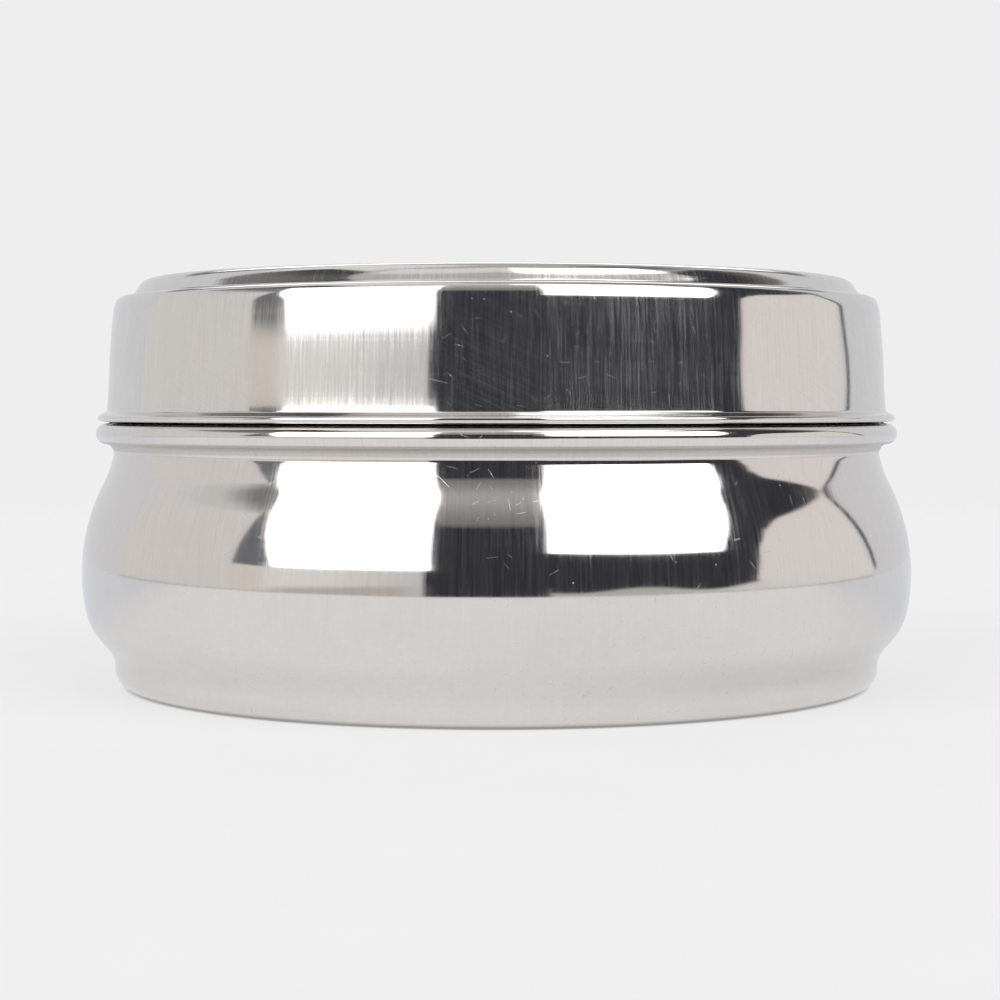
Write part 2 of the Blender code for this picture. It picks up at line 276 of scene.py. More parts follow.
# How fine each pattern is round the axis, and how fine it is up the profile, per metre.
FINE_LINES, BROAD_LINES, RING_LINES = (230.0, 80.0), (34.0, 6.0), (2.5, 1500.0)
STROKE_LINES, DASH_LINES = (190.0, 50.0), (75.0, 1300.0)
STROKE_TURN = 23.0  # the helix of the buffing marks turns this much, in radians per metre
# How much each kind of mark adds to the roughness.
LINE_ROUGH, RING_ROUGH, SMEAR_ROUGH, CLOUD_ROUGH, MARK_ROUGH, DULL_ROUGH = 0.18, 0.10, 0.20, 0.07, 0.15, 0.30
# How much each kind of mark darkens or lightens the tint.
LINE_SHADE, SMEAR_SHADE, GRAIN_SHADE, MARK_SHADE, DUST_SHADE = 0.26, 0.07, 0.05, 0.05, 0.13
RING_SHADE, LEVEL_RING_SHADE, LEVEL_SMEAR_SHADE, STROKE_SHADE, DULL_SHADE = 0.06, 0.10, 0.10, 0.03, 0.17
# The two groove values are painted shade in the groove above the pot's foot, the second deeper on the right
# side.
SOIL_DASH_SHADE, SOIL_SHADE, DASH_SHADE, GROOVE_PAINTED_SHADE, GROOVE_RIGHT_PAINTED_SHADE = 0.13, 0.015, 0.08, 0.035, 0.07
# How much of the light each kind of mark scatters in all directions.
LINE_SCATTER, MARK_SCATTER, DUST_SCATTER, STROKE_SCATTER = 0.04, 0.24, 0.60, 0.035
RING_SCATTER, SMEAR_SCATTER, MOST_SCATTER = 0.03, 0.05, 0.7
# How deep each kind of mark is in the bump, in 0.001 mm.
LINE_DEPTH, BROAD_DEPTH, RING_DEPTH = 0.7, 1.2, 0.4
SMOOTHEST = 0.02  # the least roughness
FOOT_TOP = 0.026  # the soiled foot ends here, in metres above the table
GROOVE = (0.0055, 0.0125)  # the heights of the groove above the foot's edge, in metres
NECK_RADIUS = 0.0922  # the dull ring lies outside this radius, in metres


def steel(
    name,
    colour,
    rough,
    lines=0.0,
    rings=0.0,
    scratches=1.0,
    haze=0.3,
    dents=0.0,
    spread=0.0,
    strokes=0.0,
    dull=None,
):
    """Polished stainless steel. lines is the strength of the upright draw lines, rings that of the spun
    rings round the axis, haze that of smears, and dents the depth of soft dents in 0.001 mm. A positive
    spread widens the reflections up and down the walls, and a negative one sideways. strokes are slanted
    buffing marks, and dull is the height in mm of a ring in the neck, under the bead, that is rougher and
    darker in tint; that steel's foot is soiled, and the groove above the foot's edge has painted shade."""
    material = bpy.data.materials.new(name)
    material.use_nodes = True
    tree = material.node_tree
    shader = tree.nodes["Principled BSDF"]

    coordinates = tree.nodes.new("ShaderNodeTexCoord")
    place = Value(tree, coordinates.outputs["Object"])
    facing = Value(tree, coordinates.outputs["Normal"])

    def parts(vector):
        made = tree.nodes.new("ShaderNodeSeparateXYZ")
        tree.links.new(vector.socket, made.inputs[0])
        return [Value(tree, made.outputs[i]) for i in range(3)]

    def point(a, b, c):
        made = tree.nodes.new("ShaderNodeCombineXYZ")
        for entry, value in zip(made.inputs, (a, b, c)):
            place.put(entry, value)
        return Value(tree, made.outputs[0])

    def noise(vector, detail=2.0, scale=1.0, sharp=0.5):
        made = tree.nodes.new("ShaderNodeTexNoise")
        made.inputs["Scale"].default_value = scale
        made.inputs["Detail"].default_value = detail
        made.inputs["Roughness"].default_value = sharp
        tree.links.new(vector.socket, made.inputs["Vector"])
        return Value(tree, made.outputs["Fac"]) - 0.5

    x, y, z = parts(place)
    radius = (x * x + y * y).math("SQRT")
    side_x, side_y = x / (radius + 1e-6), y / (radius + 1e-6)
    wall = parts(facing)[2].math("ABSOLUTE").below(0.8, 0.3)

    def wrapped(fineness, up):
        """A place in a pattern that is wrapped round the axis."""
        return point(side_x * fineness[0], side_y * fineness[0], up * fineness[1])

    # Lines drawn up the walls, fine and coarse, and rings that run round the axis.
    fine_lines = noise(wrapped(FINE_LINES, z), 3.0, sharp=0.7)
    broad_lines = noise(wrapped(BROAD_LINES, z), 1.0)
    line_strength = wall * lines * (1.0 + broad_lines * 1.1)
    if dull:
        # The lines are weaker on the foot.
        line_strength = line_strength * (z.above(0.024, 0.016) * 0.75 + 0.25)
    ring_lines = noise(wrapped(RING_LINES, radius + z), 2.0)
    level = 1.0 - wall
    grain = noise(place, 3.0, 420.0, 0.7)
    smears = noise(place, 4.0, 26.0, 0.62)
    cloud = noise(place, 2.0, 11.0)
    soft_dents = noise(place, 1.0, 42.0)

    def straight_marks(cells, width, reach, share, shift):
        """Straight scratches and dust. Each cell of a pattern, with cells to the metre, may hold one line
        at its own angle and of its own length, up to reach metres to each side. A share of the cells has
        one, and shift moves the pattern."""
        made = tree.nodes.new("ShaderNodeTexVoronoi")
        made.inputs["Scale"].default_value = cells
        moved = place.vector("ADD", (shift, shift * 0.7, -shift))
        tree.links.new(moved.socket, made.inputs["Vector"])
        own = Value(tree, made.outputs["Color"])
        pick = tree.nodes.new("ShaderNodeSeparateColor")
        tree.links.new(own.socket, pick.inputs[0])
        chance, length, speck = (Value(tree, pick.outputs[i]) for i in range(3))
        away = moved.vector("SUBTRACT", Value(tree, made.outputs["Position"]))
        across = facing.vector("CROSS_PRODUCT", own.vector("SUBTRACT", (0.5, 0.5, 0.5))).vector("NORMALIZE")
        off = away.vector("DOT_PRODUCT", across).math("ABSOLUTE")
        far = away.vector("LENGTH")
        line = off.below(width, width * 1.2) * far.below(length * reach, reach * 0.3)
        line = line * chance.below(share, 0.01)
        dot = far.below(width * 2.4, width * 1.6) * speck.above(0.55, 0.01)
        return line, dot

    long_marks, long_dots = straight_marks(95.0, width=0.00006, reach=0.0036, share=0.22, shift=0.013)
    short_marks, short_dots = straight_marks(330.0, width=0.00007, reach=0.0014, share=0.45, shift=0.041)
    worn = cloud.above(-0.02, 0.12)
    marks = (long_marks + short_marks * worn * 0.7).math("MINIMUM", 1.0)
    dust = (long_dots + short_dots * worn * 0.8).math("MINIMUM", 1.0)

    roughness = (
        rough
        + line_strength * fine_lines * LINE_ROUGH
        + ring_lines * (RING_ROUGH * rings)
        + (smears + 0.06).math("MAXIMUM", 0.0) * (SMEAR_ROUGH * haze)
        + cloud * (CLOUD_ROUGH * haze)
        + marks * (MARK_ROUGH * scratches)
    )

    shade = 1.0 + line_strength * fine_lines * LINE_SHADE
    shade = shade - smears * (SMEAR_SHADE * haze) + grain * GRAIN_SHADE
    shade = shade + ring_lines * (level * LEVEL_RING_SHADE + RING_SHADE) * rings
    shade = shade - smears * level * LEVEL_SMEAR_SHADE
    shade = shade - marks * (MARK_SHADE * scratches) - dust * (DUST_SHADE * scratches)
    # Scattered light shows the marks where the steel mirrors something dark.
    scatter = line_strength * fine_lines.above(0.02, 0.50) * LINE_SCATTER
    scatter = scatter + (marks * MARK_SCATTER + dust * DUST_SCATTER) * scratches
    spun = ring_lines.above(0.05, 0.3) * (RING_SCATTER * rings)
    scatter = scatter + level * (spun + smears.above(0.0, 0.3) * (SMEAR_SCATTER * haze))
    if strokes:
        # The buffing marks are lines on a helix.
        twist_x, twist_y = (z * STROKE_TURN).math("COSINE"), (z * STROKE_TURN).math("SINE")
        slant_x = side_x * twist_x - side_y * twist_y
        slant_y = side_x * twist_y + side_y * twist_x
        fine, tall = STROKE_LINES
        buffed = noise(point(slant_x * fine, slant_y * fine, z * tall), 2.0).above(0.07, 0.22)
        buffed = buffed * wall * cloud.above(0.0, 0.14)
        scatter = scatter + buffed * (STROKE_SCATTER * strokes)
        shade = shade - buffed * (STROKE_SHADE * strokes)
    if dull:
        # The soiled foot, painted shade in the groove above its edge, and the ring in the neck.
        dashes = noise(wrapped(DASH_LINES, z), 3.0, sharp=0.65)
        foot = z.below(FOOT_TOP, 0.02)
        soil = foot * (smears + 0.5).above(0.52, 0.2)
        shade = shade - soil * (dashes.above(0.16, 0.12) * SOIL_DASH_SHADE + SOIL_SHADE)
        shade = shade + foot * dashes * DASH_SHADE
        # Painted shade: the groove above the foot's edge is darkened, more on the right side.
        groove = z.between(*GROOVE, 0.005)
        shade = shade - groove * (side_x.above(0.35, 0.7) * GROOVE_RIGHT_PAINTED_SHADE + GROOVE_PAINTED_SHADE)
        # The ring in the neck, under the bead, is rougher and darker in tint.
        ring = z.between((dull - 1.2) * MM, (dull + 1.1) * MM, 0.4 * MM) * radius.above(NECK_RADIUS, 0.0004)
        roughness = roughness + ring * DULL_ROUGH
        shade = shade - ring * DULL_SHADE
    place.put(shader.inputs["Roughness"], roughness.math("MAXIMUM", SMOOTHEST))
    place.put(shader.inputs["Metallic"], 1.0 - scatter.math("MINIMUM", MOST_SCATTER))
    tint = tree.nodes.new("ShaderNodeVectorMath")
    tint.operation = "SCALE"
    tint.inputs[0].default_value = colour
    place.put(tint.inputs["Scale"], shade)
    tree.links.new(tint.outputs[0], shader.inputs["Base Color"])

    height = wall * (fine_lines * (LINE_DEPTH * lines) + broad_lines * (BROAD_DEPTH * lines))
    height = height + ring_lines * (RING_DEPTH * rings) + soft_dents * dents
    bump = tree.nodes.new("ShaderNodeBump")
    bump.inputs["Strength"].default_value = 1.0
    bump.inputs["Distance"].default_value = 0.001 * MM
    place.put(bump.inputs["Height"], height)
    tree.links.new(bump.outputs[0], shader.inputs["Normal"])

    if spread:
        tangent = tree.nodes.new("ShaderNodeTangent")
        tangent.direction_type = "RADIAL"
        tangent.axis = "Z"
        tree.links.new(tangent.outputs[0], shader.inputs["Tangent"])
        place.put(shader.inputs["Anisotropic"], wall * abs(spread))
        shader.inputs["Anisotropic Rotation"].default_value = 0.25 if spread > 0 else 0.0
    return material


def finish_piece(piece, node, body, material):
    """Puts a piece on its body in place of a CAD node."""
    piece.data.materials.clear()
    piece.data.materials.append(material)
    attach(piece, body)
    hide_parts(node)


def centre_of(node):
    """The middle of a node's foot, in metres."""
    low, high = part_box(node)
    return ((low[0] + high[0]) / 2, (low[1] + high[1]) / 2, low[2])


# ---------------------------------------------------------------- pot

POT_SHEET = 0.7
TURNED_STEPS = 256  # round the pot and the outer lid
COLLAR_TOP = 86.0
COLLAR_FOOT = 63.7
COLLAR_GAP = 1.0  # from the lid's outer face to the collar's, in mm
BEAD = (94.0, 60.2)
BEAD_RADIUS = 2.5
UNDER_BEAD_RADIUS = 2.35
LID_FOOT = (93.9, 64.35)  # the foot of the lid's wall in the CAD, which the collar follows
LID_TAPER = 3.0
BELLY_HEIGHT = 27.0  # the widest ring, 100 mm from the axis
UPPER_BELLY_RADIUS = 46.05
LOWER_BELLY_RADIUS = 45.0
BELLY_REACH = 100.0
BELLY_END = 27.5  # where the belly's arc ends and the hollow neck begins, in degrees
NECK_BEND = 26.0
NECK_END = 12.0
SIDE_END = -10.9  # where the lower belly turns in towards the foot, in degrees
TURN_RADIUS = 15.0
FOOT_CORNER_RADIUS = 4.0
FOOT_CORNER = (88.2, 4.0)
BASE_RING = 84.6  # the flat ring the pot stands on reaches in to here
BASE_INSIDE = 83.0
BASE_RISE = 0.8


def collar_radius(height):
    return LID_FOOT[0] - (height - LID_FOOT[1]) * math.tan(math.radians(LID_TAPER)) - COLLAR_GAP


def pot_path():
    """From the collar's rim, over the bead and down the S-shaped side, to the middle of the base."""
    belly = arc((BELLY_REACH - UPPER_BELLY_RADIUS, BELLY_HEIGHT), UPPER_BELLY_RADIUS, BELLY_END, 0, 1.5)
    neck = beside(belly[0], -NECK_BEND, BELLY_END)
    slow = arc(neck, NECK_BEND, 180 + NECK_END, 180 + BELLY_END, 1.5)
    bend = arc(beside(slow[0], -3.5, NECK_END), 3.5, 180, 180 + NECK_END)
    under_bead = arc((bend[0][0] + UNDER_BEAD_RADIUS, bend[0][1]), UNDER_BEAD_RADIUS, 96, 180)
    bead = arc(BEAD, BEAD_RADIUS, 78, -68)
    collar = [(collar_radius(h), h) for h in (COLLAR_TOP, COLLAR_FOOT)]
    fillet = arc((collar[-1][0] + 0.9, COLLAR_FOOT - 0.1), 0.9, 200, 265)
    side = arc((BELLY_REACH - LOWER_BELLY_RADIUS, BELLY_HEIGHT), LOWER_BELLY_RADIUS, 0, SIDE_END, 1.5)
    turn = arc(beside(side[-1], TURN_RADIUS, SIDE_END), TURN_RADIUS, SIDE_END, -40)
    foot_fillet = arc((99.2, 4.68), 7.0, 140, 180)
    corner = arc(FOOT_CORNER, FOOT_CORNER_RADIUS, 0, -90)
    base = [(BASE_RING, 0.0), (BASE_INSIDE, BASE_RISE), (0.0, BASE_RISE)]
    upper = collar + fillet + bead + under_bead + bend + slow[1:-1] + belly
    return upper + side[1:] + turn[1:] + foot_fillet + corner + base


pot_outline = sheet(softened(pot_path(), 0.22), POT_SHEET)
pot = shown("pot_steel", turned("pot_steel", pot_outline, TURNED_STEPS, wave=0.035, seed=3))
pot_polish = steel(
    "pot_polish",
    (0.745, 0.715, 0.692),
    rough=0.055,
    lines=0.8,
    rings=0.35,
    scratches=1.4,
    haze=0.5,
    dents=26.0,
    spread=-0.45,
    dull=57.4,
)
finish_piece(pot, "pot", "pot", pot_polish)

# ---------------------------------------------------------------- outer lid

LID_SHEET = 0.5
LID_TOP = 96.7
LID_ROLL_CENTRE = (95.12, 63.92)
LID_ROLL_RADIUS = 0.85
LID_ROLL_START = 65  # where the flare meets the rolled edge, in degrees
LID_FLARE_RADIUS = 0.5
LID_FLARE_SLOPE = 1.5  # the length of the flare's straight part
LID_WALL_TOP = 89.1
SLOW_RADIUS = 7.0  # the wall's top bends in slowly, then the shoulder tightly
SLOW_END = 25.0
SHOULDER_RADIUS = 2.0
PLATEAU_RADIUS = 3.23  # of the corner at the plateau's rim
PLATEAU_CORNER = (83.4, LID_TOP - PLATEAU_RADIUS)
PLATEAU_CORNER_END = 36.5
PLATEAU_SIDE_RADIUS = 15.0
PLATEAU_SIDE_END = 29.5
STEP_FILLET = 0.8
# How far the lid's wall leans in, in degrees, at heights in mm: it opens a little at its foot.
WALL_LEAN = (
    (65.7, 5.4),
    (66.6, 5.7),
    (68.5, 4.8),
    (70.5, 3.0),
    (72.5, 2.4),
    (77.0, 2.5),
    (80.0, 3.8),
    (83.0, 4.8),
    (LID_WALL_TOP, 5.8),
)


def outer_lid_path():
    """From the middle of the plateau, over the step and the shoulder, down the wall to the rolled edge."""
    roll = arc(LID_ROLL_CENTRE, LID_ROLL_RADIUS, LID_ROLL_START, -190, 8.0)
    slope = beside(roll[0], -LID_FLARE_SLOPE, LID_ROLL_START + 90)
    flare_centre = beside(slope, -LID_FLARE_RADIUS, LID_ROLL_START)
    flare = arc(flare_centre, LID_FLARE_RADIUS, 180 + WALL_LEAN[0][1], 180 + LID_ROLL_START)
    heights = np.linspace(flare[0][1], LID_WALL_TOP, 60)
    leans = np.tan(np.radians(np.interp(heights, *np.array(WALL_LEAN).T)))
    steps = np.diff(heights) * (leans[1:] + leans[:-1]) / 2
    radii = flare[0][0] - np.concatenate([[0], np.cumsum(steps)])
    wall = list(zip(radii, heights))[::-1]
    top_lean = WALL_LEAN[-1][1]
    slow = arc(beside(wall[0], SLOW_RADIUS, top_lean), SLOW_RADIUS, SLOW_END, top_lean, 2.0)
    shoulder = arc(beside(slow[0], SHOULDER_RADIUS, SLOW_END), SHOULDER_RADIUS, 90, SLOW_END)
    corner = arc(PLATEAU_CORNER, PLATEAU_RADIUS, 90, PLATEAU_CORNER_END)
    side_centre = beside(corner[-1], PLATEAU_SIDE_RADIUS, PLATEAU_CORNER_END)
    side = arc(side_centre, PLATEAU_SIDE_RADIUS, PLATEAU_CORNER_END, PLATEAU_SIDE_END, 1.0)
    level = shoulder[0][1]
    lean = math.radians(PLATEAU_SIDE_END)
    drop = side[-1][1] - level - STEP_FILLET * (1 - math.sin(lean))
    step_centre = (side[-1][0] + drop * math.tan(lean) + STEP_FILLET * math.cos(lean), level + STEP_FILLET)
    step = arc(step_centre, STEP_FILLET, 180 + PLATEAU_SIDE_END, 270)
    return [(0.0, LID_TOP)] + corner + side[1:] + step + shoulder + slow[1:] + wall[1:] + flare[1:] + roll


lid_outline = sheet(softened(outer_lid_path(), 0.12, 0.1), LID_SHEET, 0.002)
lid_mesh = turned("outer_lid_steel", lid_outline, TURNED_STEPS, wave=0.02, seed=11)
outer_lid = shown("outer_lid_steel", lid_mesh)
outer_lid_polish = steel(
    "outer_lid_polish",
    (0.742, 0.72, 0.70),
    rough=0.09,
    lines=1.0,
    rings=0.4,
    scratches=0.7,
    haze=0.3,
    dents=14.0,
    spread=0.68,
    strokes=1.0,
)
finish_piece(outer_lid, "outer_lid", "outer_lid", outer_lid_polish)

# ---------------------------------------------------------------- bowls

BOWL_SHEET = 0.4
BOWL_CURL = (28.3, 45.1)
BOWL_CURL_RADIUS = 0.5
BOWL_CORNER_RADIUS = 10.0
BOWL_CORNER = (16.2, 10.0)
BOWL_TURN = 0.9  # each bowl is turned this much further, in radians, so that their marks differ


def bowl_path():
    """From the rolled rim down the wall to the middle of the base, along the outer face."""
    curl = arc(BOWL_CURL, BOWL_CURL_RADIUS, -60, 180, 10.0)
    corner = arc(BOWL_CORNER, BOWL_CORNER_RADIUS, 0, -90)
    return curl + corner + [(0.0, 0.0)]


bowl_outline = sheet(softened(bowl_path(), 0.12, 0.1), BOWL_SHEET, 0.003)
bowl_mesh = turned("bowl_steel", bowl_outline, 96, wave=0.02, seed=7)
bowl_polish = steel(
    "bowl_polish", (0.72, 0.70, 0.68), rough=0.13, lines=0.5, rings=1.0, scratches=1.0, haze=0.8, dents=10.0
)
for number in range(7):
    node = f"bowl_{number}" if number else "bowl_center"
    bowl = shown(node + "_steel", bowl_mesh.copy())
    bowl.location = centre_of(node)
    bowl.rotation_euler.z = number * BOWL_TURN
    finish_piece(bowl, node, node, bowl_polish)

# ---------------------------------------------------------------- inner lid, knob and rivet

INNER_LID_SHEET = 0.5
INNER_LID_RADIUS = 89.0
INNER_LID_EDGE = 4.0  # the height of the turned edge
INNER_LID_BEND = 2.5
RIVET_HOLE = 2.4
KNOB_TOP = 15.0
KNOB_CROWN_RADIUS = 18.0
KNOB_EDGE = 6.9  # from the axis to the middle of the knob's rounded edge
KNOB_EDGE_RADIUS = 2.6
KNOB_HOLE_DEPTH = 7.3
RIVET_SHANK = 2.1
RIVET_HEAD = 4.5
RIVET_HEAD_TOP = -0.8
RIVET_DOME_RADIUS = 9.4
RIVET_DOME_CENTRE = (0.0, 7.4)


def inner_lid_path():
    """From the rivet's hole outwards, along the upper face, and up the turned edge."""
    bend = arc((INNER_LID_RADIUS - INNER_LID_BEND, INNER_LID_BEND), INNER_LID_BEND, -90, 0)
    return [(RIVET_HOLE, 0.0)] + bend + [(INNER_LID_RADIUS, INNER_LID_EDGE)]


def knob_outline():
    """The knob's crown, edge and waist, and the blind hole for the rivet."""
    reach = KNOB_CROWN_RADIUS - KNOB_EDGE_RADIUS
    crown_end = 90 - math.degrees(math.asin(KNOB_EDGE / reach))
    crown_centre = KNOB_TOP - KNOB_CROWN_RADIUS
    edge_height = crown_centre + reach * math.sin(math.radians(crown_end))
    crown = arc((0.0, crown_centre), KNOB_CROWN_RADIUS, 90, crown_end, 2.0)
    edge = arc((KNOB_EDGE, edge_height), KNOB_EDGE_RADIUS, crown_end, -80)[1:]
    waist = arc((10.5, 5.2), 5.2, 140, 215)
    foot = arc((6.6, 0.4), 0.4, 0, -90, 30.0)
    outside = softened(crown + edge + waist + [(7.0, 1.2)] + foot, 0.15, 0.1)
    outside[0][0] = 0.0
    hole = [(RIVET_HOLE, 0.0), (RIVET_HOLE, KNOB_HOLE_DEPTH), (0.0, KNOB_HOLE_DEPTH)]
    return [tuple(p) for p in thinned(outside, 0.003)] + hole


def rivet_outline():
    """The shank, and the domed head under the inner lid."""
    dome = arc(RIVET_DOME_CENTRE, RIVET_DOME_RADIUS, -90, -90 + 25.5, 3.0)[::-1]
    rim = [(RIVET_HEAD - 0.1, RIVET_HEAD_TOP), (RIVET_HEAD, RIVET_HEAD_TOP - 0.1)]
    head = rim + [(r, h) for r, h in dome if r < RIVET_HEAD - 0.2]
    head[-1] = (0.0, head[-1][1])
    shank_end = [(0.0, KNOB_HOLE_DEPTH), (RIVET_SHANK - 0.2, KNOB_HOLE_DEPTH)]
    return shank_end + [(RIVET_SHANK, KNOB_HOLE_DEPTH - 0.2), (RIVET_SHANK, RIVET_HEAD_TOP)] + head


plate_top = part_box("inner_lid")[0][2] + INNER_LID_SHEET * MM
inner_lid_outline = sheet(softened(inner_lid_path(), 0.15), INNER_LID_SHEET, 0.003)
inner_lid_mesh = turned("inner_lid_steel", inner_lid_outline, 192, wave=0.02, seed=19)
inner_lid = shown("inner_lid_steel", inner_lid_mesh)
inner_lid.location.z = plate_top
inner_lid_polish = steel(
    "inner_lid_polish", (0.73, 0.71, 0.69), rough=0.14, rings=1.2, scratches=1.2, haze=0.8, dents=16.0
)
finish_piece(inner_lid, "inner_lid", "inner_lid", inner_lid_polish)

knob = shown("knob_steel", turned("knob_steel", knob_outline(), 72))
knob.location.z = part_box("inner_lid_knob")[0][2]
knob_polish = steel("knob_polish", (0.75, 0.73, 0.71), rough=0.07, rings=0.8, scratches=1.0, haze=0.5)
finish_piece(knob, "inner_lid_knob", "inner_lid", knob_polish)

rivet = shown("rivet_steel", turned("rivet_steel", rivet_outline(), 48))
rivet.location.z = plate_top
rivet_polish = steel(
    "rivet_polish", (0.66, 0.645, 0.63), rough=0.24, rings=0.6, scratches=1.0, haze=1.0, dents=4.0
)
finish_piece(rivet, "knob_rivet", "inner_lid", rivet_polish)

# ---------------------------------------------------------------- spoons

SPOON_LENGTH = 104.0
SPOON_SHEET = 0.9
SCOOP_LENGTH = 30.0
SCOOP_HALF_WIDTH = 11.5
SCOOP_DEPTH = 4.5
HANDLE_HALF_WIDTH = 2.4
HANDLE_WIDENING = 2.2
HANDLE_END_RADIUS = 4.6
HANDLE_ARCH = 4.0
RIB_HEIGHT = 0.35
RIB_WIDTH = 0.38  # as a share of the half width


def spoon_half_width(along):
    """Half the spoon's width in mm at a distance from the scoop's tip."""
    share = (along - SCOOP_LENGTH) / (SPOON_LENGTH - SCOOP_LENGTH)
    handle = HANDLE_HALF_WIDTH + max(share, 0.0) * HANDLE_WIDENING
    left = (SPOON_LENGTH - along) / HANDLE_END_RADIUS
    if left < 1:
        handle *= math.sqrt(max(1 - (1 - left) ** 2, 0.02))
    centred = 2 * along / SCOOP_LENGTH - 1
    scoop = SCOOP_HALF_WIDTH * math.sqrt(max(1 - centred**2, 0.008))
    return scoop if centred < 0 else max(scoop if centred < 1 else 0.0, handle)


def spoon_height(along, across):
    """The spoon's middle surface in mm: a dished scoop, and an arched handle with a shallow pressed rib."""
    centred = min(2 * along / SCOOP_LENGTH - 1, 1.0)
    dish = (1 - centred**2) * (1 - across**2)
    share = max((along - SCOOP_LENGTH) / (SPOON_LENGTH - SCOOP_LENGTH), 0.0)
    arch = HANDLE_ARCH * math.sin(math.pi * min(share * 1.15, 1.0))
    rib = RIB_HEIGHT * math.exp(-((across / RIB_WIDTH) ** 2))
    rib *= max(0.0, min(share * 6, (0.92 - share) * 9, 1.0))
    return SCOOP_DEPTH * (1 - dish) + arch + rib + SPOON_SHEET / 2


def spoon_mesh():
    """The spoon's middle surface as a grid, made as thick as its sheet and rounded. Columns lie closer
    together at both ends."""
    columns, rows = 110, 14
    points = []
    for i in range(columns + 1):
        share = i / columns
        along = SPOON_LENGTH * (share - math.sin(2 * math.pi * share) * 0.10)
        half = spoon_half_width(along)
        for j in range(rows + 1):
            across = math.sin(math.pi * (j / rows - 0.5))
            spot = (along - SPOON_LENGTH / 2, across * half, spoon_height(along, across))
            points.append(tuple(c * MM for c in spot))
    faces = []
    for i in range(columns):
        for j in range(rows):
            a = i * (rows + 1) + j
            faces.append((a, a + rows + 1, a + rows + 2, a + 1))
    mesh = bpy.data.meshes.new("spoon_steel")
    mesh.from_pydata(points, [], faces)
    draft = shown("spoon_draft", mesh)
    solidify = draft.modifiers.new("sheet", "SOLIDIFY")
    solidify.thickness = SPOON_SHEET * MM
    solidify.offset = 0.0
    round_off = draft.modifiers.new("round", "SUBSURF")
    round_off.levels = round_off.render_levels = 1
    graph = bpy.context.evaluated_depsgraph_get()
    made = bpy.data.meshes.new_from_object(draft.evaluated_get(graph))
    bpy.data.objects.remove(draft)
    return made


spoon_polish = steel("spoon_polish", (0.74, 0.72, 0.70), rough=0.10, scratches=1.4, haze=0.8, dents=8.0)
pressed = spoon_mesh()
for number, turn_about in ((1, 0.0), (2, math.pi)):
    spoon = shown(f"spoon_{number}_steel", pressed.copy())
    spoon.location = centre_of(f"spoon_{number}")
    spoon.rotation_euler.z = turn_about
    finish_piece(spoon, f"spoon_{number}", f"spoon_{number}", spoon_polish)

# ---------------------------------------------------------------- camera, floor and studio

BACKDROP = 0.855  # the plain backdrop the camera sees
FLOOR_GLOW = 0.66  # most of the table's brightness is its own, so that it lies almost without shadow
FLOOR_ALBEDO = 0.2
FLOOR_RADIUS = 2.2
FLOOR_DROP = 0.0002  # the table lies this far under the foot, in metres
# Under the foot the table's glow is dimmed: a painted contact shadow.
CONTACT_RADIUS = 0.0896  # the table is dimmer inside this radius, under the foot
CONTACT_DIM = 0.6
FLOOR_FADE = 0.95  # the radius where the table fades into the backdrop
FAR_TABLE_TINT = (0.80, 0.83, 0.90)  # of the table behind the box, in the steel
CAMERA_LENS = 83.66
CAMERA_PLACE = (0.0, -0.5681, 0.067)
CAMERA_DOWN = 2.341  # degrees
CAMERA_RIGHT = 0.086
ROOM_DARK = (0.032, 0.034, 0.043)
SOFTBOX_LEVEL = 3.0

camera = bpy.data.objects.new("camera", bpy.data.cameras.new("camera"))
bpy.context.scene.collection.objects.link(camera)
camera.data.lens = CAMERA_LENS
camera.data.sensor_width = 36.0
camera.location = CAMERA_PLACE
camera.rotation_euler = (math.radians(90.0 - CAMERA_DOWN), 0.0, math.radians(-CAMERA_RIGHT))
bpy.context.scene.camera = camera


